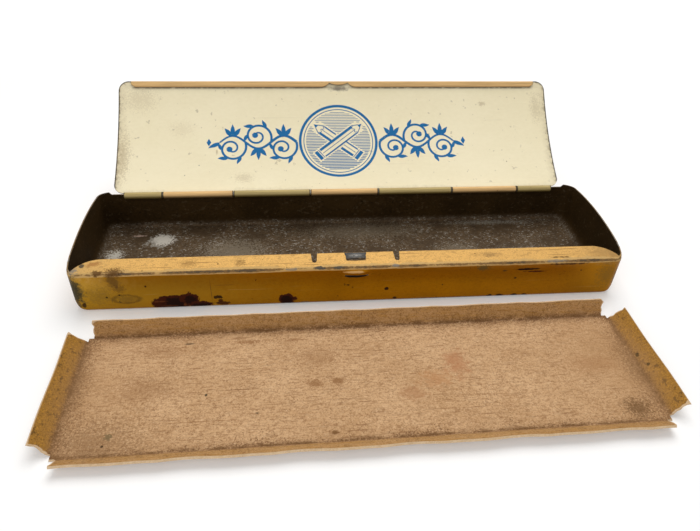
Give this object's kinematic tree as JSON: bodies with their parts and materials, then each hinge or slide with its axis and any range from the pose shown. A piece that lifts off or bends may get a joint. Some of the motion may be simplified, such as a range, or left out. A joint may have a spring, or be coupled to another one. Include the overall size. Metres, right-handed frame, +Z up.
{
  "type": "pencil tin",
  "caption": "Long pressed tin box for pencils with a cambered hinged lid, a sprung front lip with a raised catch, and a folded card liner lying beside it.",
  "frame": {"origin": "middle of the tin's flat underside", "axes": "+X along the tin, +Y from the front lip towards the hinge, +Z up"},
  "size_m": [0.19, 0.1544, 0.0457],
  "materials": {
    "gold_lacquer": "aged gold lacquer over tinplate, worn grey along the bends",
    "dark_lining": "dark brown lining lacquer, scuffed on the floor",
    "cream_enamel": "aged cream enamel, satin",
    "blue_print": "blue printing ink on enamel",
    "bare_tin": "worn bare tinplate",
    "steel_wire": "dull drawn wire",
    "grey_card": "uncoated brown card, stained"
  },
  "bodies": {
    "tin": {"base_shell": "gold_lacquer", "hinge_pin": "steel_wire"},
    "lid": {"lid_shell": "gold_lacquer"},
    "liner": {"card_liner": "grey_card"}
  },
  "joints": [
    {"name": "lid_hinge", "type": "hinge", "parent": "tin", "child": "lid", "pos_m": [0, 0.0242, 0.01544], "axis": [1, 0, 0], "range_deg": [0, 143]},
    {"name": "liner_lift", "type": "slide", "parent": "tin", "child": "liner", "axis": [0, 0, 1], "range_m": [0, 0.06]}
  ]
}
